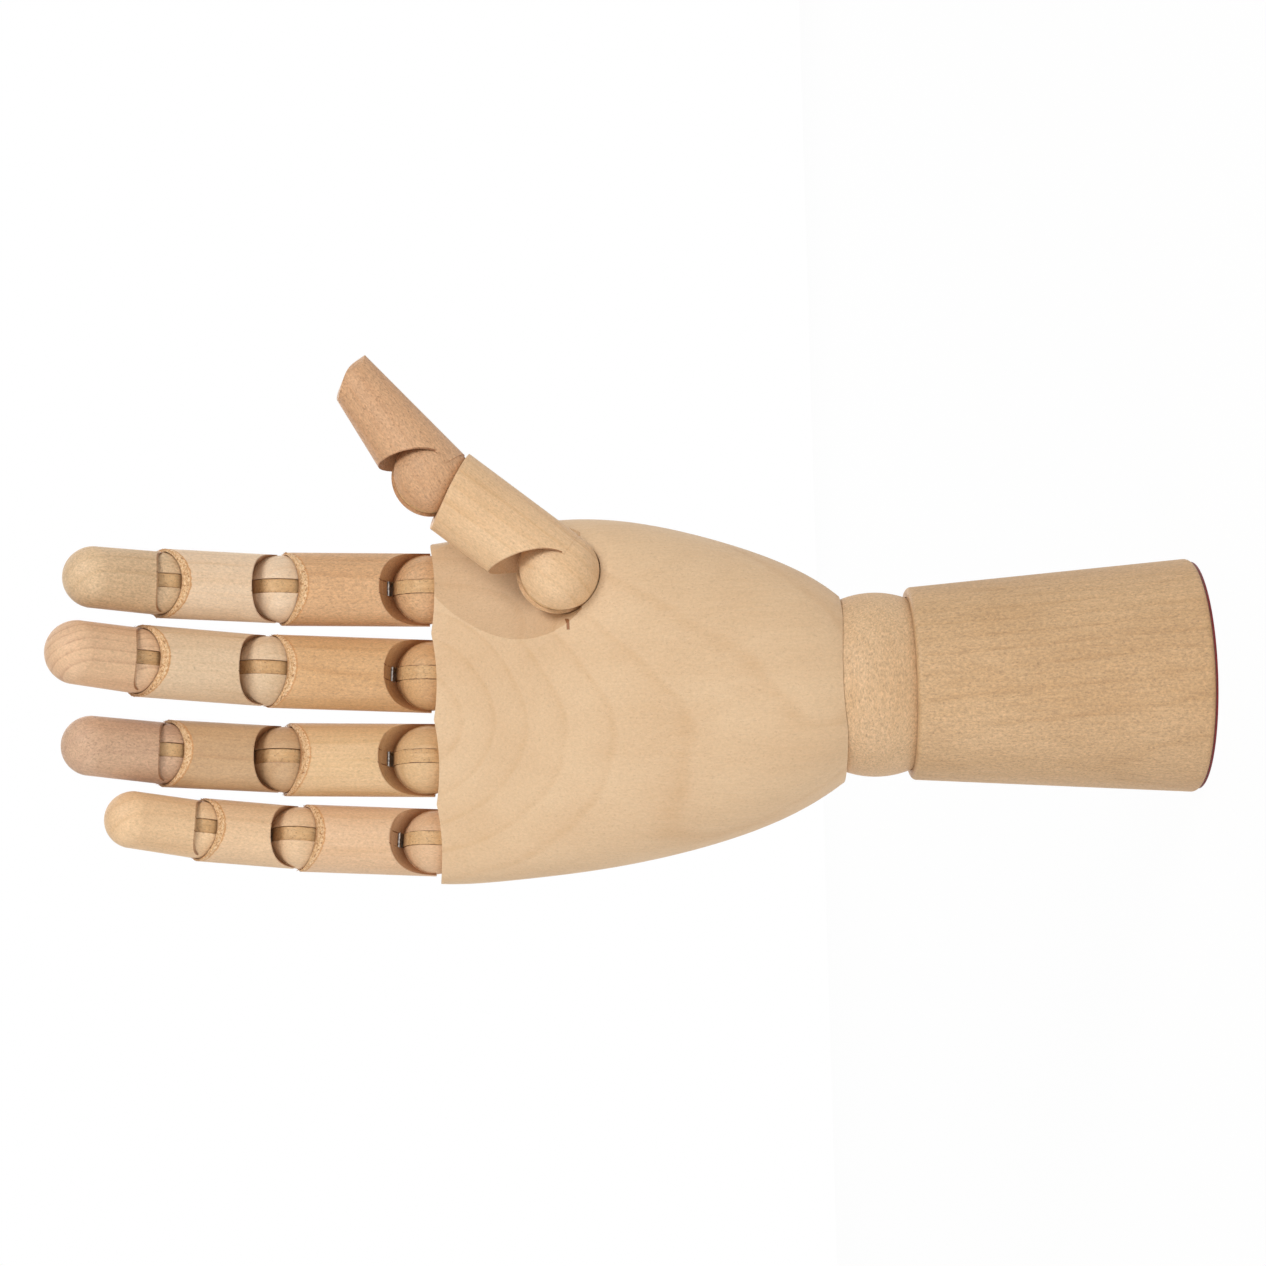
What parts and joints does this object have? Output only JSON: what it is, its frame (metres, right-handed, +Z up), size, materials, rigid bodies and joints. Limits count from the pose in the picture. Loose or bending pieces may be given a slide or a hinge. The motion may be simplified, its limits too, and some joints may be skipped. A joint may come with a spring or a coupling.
{
  "type": "hand mannequin",
  "caption": "Wooden artist's hand mannequin with jointed fingers and thumb, a ball wrist and a tapered forearm that stands on its flat felted base.",
  "frame": {"origin": "centre of the lower face of the base pad, at table height", "axes": "+Z runs up the forearm to the fingertips, the palm faces -Y and the thumb is on the +X side"},
  "size_m": [0.0784, 0.0396, 0.1682],
  "materials": {
    "body_wood": "sanded and waxed pale hardwood",
    "ball_wood": "lathe turned end grain",
    "tongue_wood": "sawn strip",
    "joint_steel": "drawn wire",
    "base_felt": "thin pressed felt"
  },
  "bodies": {
    "forearm": {"forearm": "body_wood", "base_pad": "base_felt", "wrist_spring": "joint_steel"},
    "draw_rod": {"draw_rod": "joint_steel", "spring_washer": "joint_steel"},
    "wrist_ball": {"wrist_ball": "ball_wood"},
    "palm": {"palm": "body_wood", "palm_eye": "joint_steel", "index_knuckle_tongue": "tongue_wood", "middle_knuckle_tongue": "tongue_wood", "ring_knuckle_tongue": "tongue_wood", "little_knuckle_tongue": "tongue_wood", "thumb_root_tongue": "tongue_wood"},
    "index_proximal": {"index_proximal": "body_wood", "index_knuckle_pin": "joint_steel", "index_keeper": "joint_steel", "index_middle_tongue": "tongue_wood"},
    "index_middle": {"index_middle": "body_wood", "index_middle_pin": "joint_steel", "index_tip_tongue": "tongue_wood"},
    "index_distal": {"index_distal": "body_wood", "index_tip_pin": "joint_steel"},
    "middle_proximal": {"middle_proximal": "body_wood", "middle_knuckle_pin": "joint_steel", "middle_keeper": "joint_steel", "middle_middle_tongue": "tongue_wood"},
    "middle_middle": {"middle_middle": "body_wood", "middle_middle_pin": "joint_steel", "middle_tip_tongue": "tongue_wood"},
    "middle_distal": {"middle_distal": "body_wood", "middle_tip_pin": "joint_steel"},
    "ring_proximal": {"ring_proximal": "body_wood", "ring_knuckle_pin": "joint_steel", "ring_keeper": "joint_steel", "ring_middle_tongue": "tongue_wood"},
    "ring_middle": {"ring_middle": "body_wood", "ring_middle_pin": "joint_steel", "ring_tip_tongue": "tongue_wood"},
    "ring_distal": {"ring_distal": "body_wood", "ring_tip_pin": "joint_steel"},
    "little_proximal": {"little_proximal": "body_wood", "little_knuckle_pin": "joint_steel", "little_keeper": "joint_steel", "little_middle_tongue": "tongue_wood"},
    "little_middle": {"little_middle": "body_wood", "little_middle_pin": "joint_steel", "little_tip_tongue": "tongue_wood"},
    "little_distal": {"little_distal": "body_wood", "little_tip_pin": "joint_steel"},
    "thumb_proximal": {"thumb_proximal": "body_wood", "thumb_root_pin": "joint_steel", "thumb_tip_tongue": "tongue_wood"},
    "thumb_distal": {"thumb_distal": "body_wood", "thumb_tip_pin": "joint_steel"}
  },
  "joints": [
    {"name": "wrist_twist", "type": "hinge", "parent": "forearm", "child": "draw_rod", "pos_m": [0, 0, 0.0478], "axis": [0, 0, 1], "range_deg": [-90, 90]},
    {"name": "wrist_side_tilt", "type": "hinge", "parent": "draw_rod", "child": "wrist_ball", "pos_m": [0, 0, 0.0478], "axis": [0, 1, 0], "range_deg": [-25, 25]},
    {"name": "wrist_front_tilt", "type": "hinge", "parent": "wrist_ball", "child": "palm", "pos_m": [0, 0, 0.0478], "axis": [1, 0, 0], "range_deg": [-25, 25]},
    {"name": "index_knuckle", "type": "hinge", "parent": "palm", "child": "index_proximal", "pos_m": [0.0162, 0.001, 0.1145], "axis": [0.9941, 0.1045, -0.0278], "range_deg": [-4, 54]},
    {"name": "index_middle_joint", "type": "hinge", "parent": "index_proximal", "child": "index_middle", "pos_m": [0.01697, -0.00053, 0.13643], "axis": [0.9941, 0.1045, -0.0278], "range_deg": [-20, 50]},
    {"name": "index_tip_joint", "type": "hinge", "parent": "index_middle", "child": "index_distal", "pos_m": [0.01822, -0.00793, 0.15312], "axis": [0.9941, 0.1045, -0.0278], "range_deg": [-18, 22]},
    {"name": "middle_knuckle", "type": "hinge", "parent": "palm", "child": "middle_proximal", "pos_m": [0.0032, 0.001, 0.1144], "axis": [0.9877, 0.1478, -0.05], "range_deg": [-6, 52]},
    {"name": "middle_middle_joint", "type": "hinge", "parent": "middle_proximal", "child": "middle_middle", "pos_m": [0.0048, -0.00152, 0.13862], "axis": [0.9877, 0.1478, -0.05], "range_deg": [-20, 50]},
    {"name": "middle_tip_joint", "type": "hinge", "parent": "middle_middle", "child": "middle_distal", "pos_m": [0.007, -0.01015, 0.15641], "axis": [0.9877, 0.1478, -0.05], "range_deg": [-20, 20]},
    {"name": "ring_knuckle", "type": "hinge", "parent": "palm", "child": "ring_proximal", "pos_m": [-0.0094, 0.001, 0.1152], "axis": [0.9811, 0.1908, -0.0325], "range_deg": [-1, 57]},
    {"name": "ring_middle_joint", "type": "hinge", "parent": "ring_proximal", "child": "ring_middle", "pos_m": [-0.00861, 0.00063, 0.13678], "axis": [0.9811, 0.1908, -0.0325], "range_deg": [-19, 51]},
    {"name": "ring_tip_joint", "type": "hinge", "parent": "ring_middle", "child": "ring_distal", "pos_m": [-0.00688, -0.00541, 0.15365], "axis": [0.9811, 0.1908, -0.0325], "range_deg": [-18, 22]},
    {"name": "little_knuckle", "type": "hinge", "parent": "palm", "child": "little_proximal", "pos_m": [-0.0218, 0.001, 0.1145], "axis": [0.9684, 0.2419, -0.0609], "range_deg": [-1, 57]},
    {"name": "little_middle_joint", "type": "hinge", "parent": "little_proximal", "child": "little_middle", "pos_m": [-0.02044, 0.00066, 0.13475], "axis": [0.9684, 0.2419, -0.0609], "range_deg": [-17, 53]},
    {"name": "little_tip_joint", "type": "hinge", "parent": "little_middle", "child": "little_distal", "pos_m": [-0.0184, -0.0039, 0.14911], "axis": [0.9684, 0.2419, -0.0609], "range_deg": [-20, 20]},
    {"name": "thumb_base_joint", "type": "hinge", "parent": "palm", "child": "thumb_proximal", "pos_m": [0.018, -0.0132, 0.0944], "axis": [-0.2588, 0.933, 0.25], "range_deg": [-50, 0]},
    {"name": "thumb_tip_joint", "type": "hinge", "parent": "thumb_proximal", "child": "thumb_distal", "pos_m": [0.03222, -0.01406, 0.11233], "axis": [-0.2588, 0.933, 0.25], "range_deg": [-60, 2]}
  ]
}
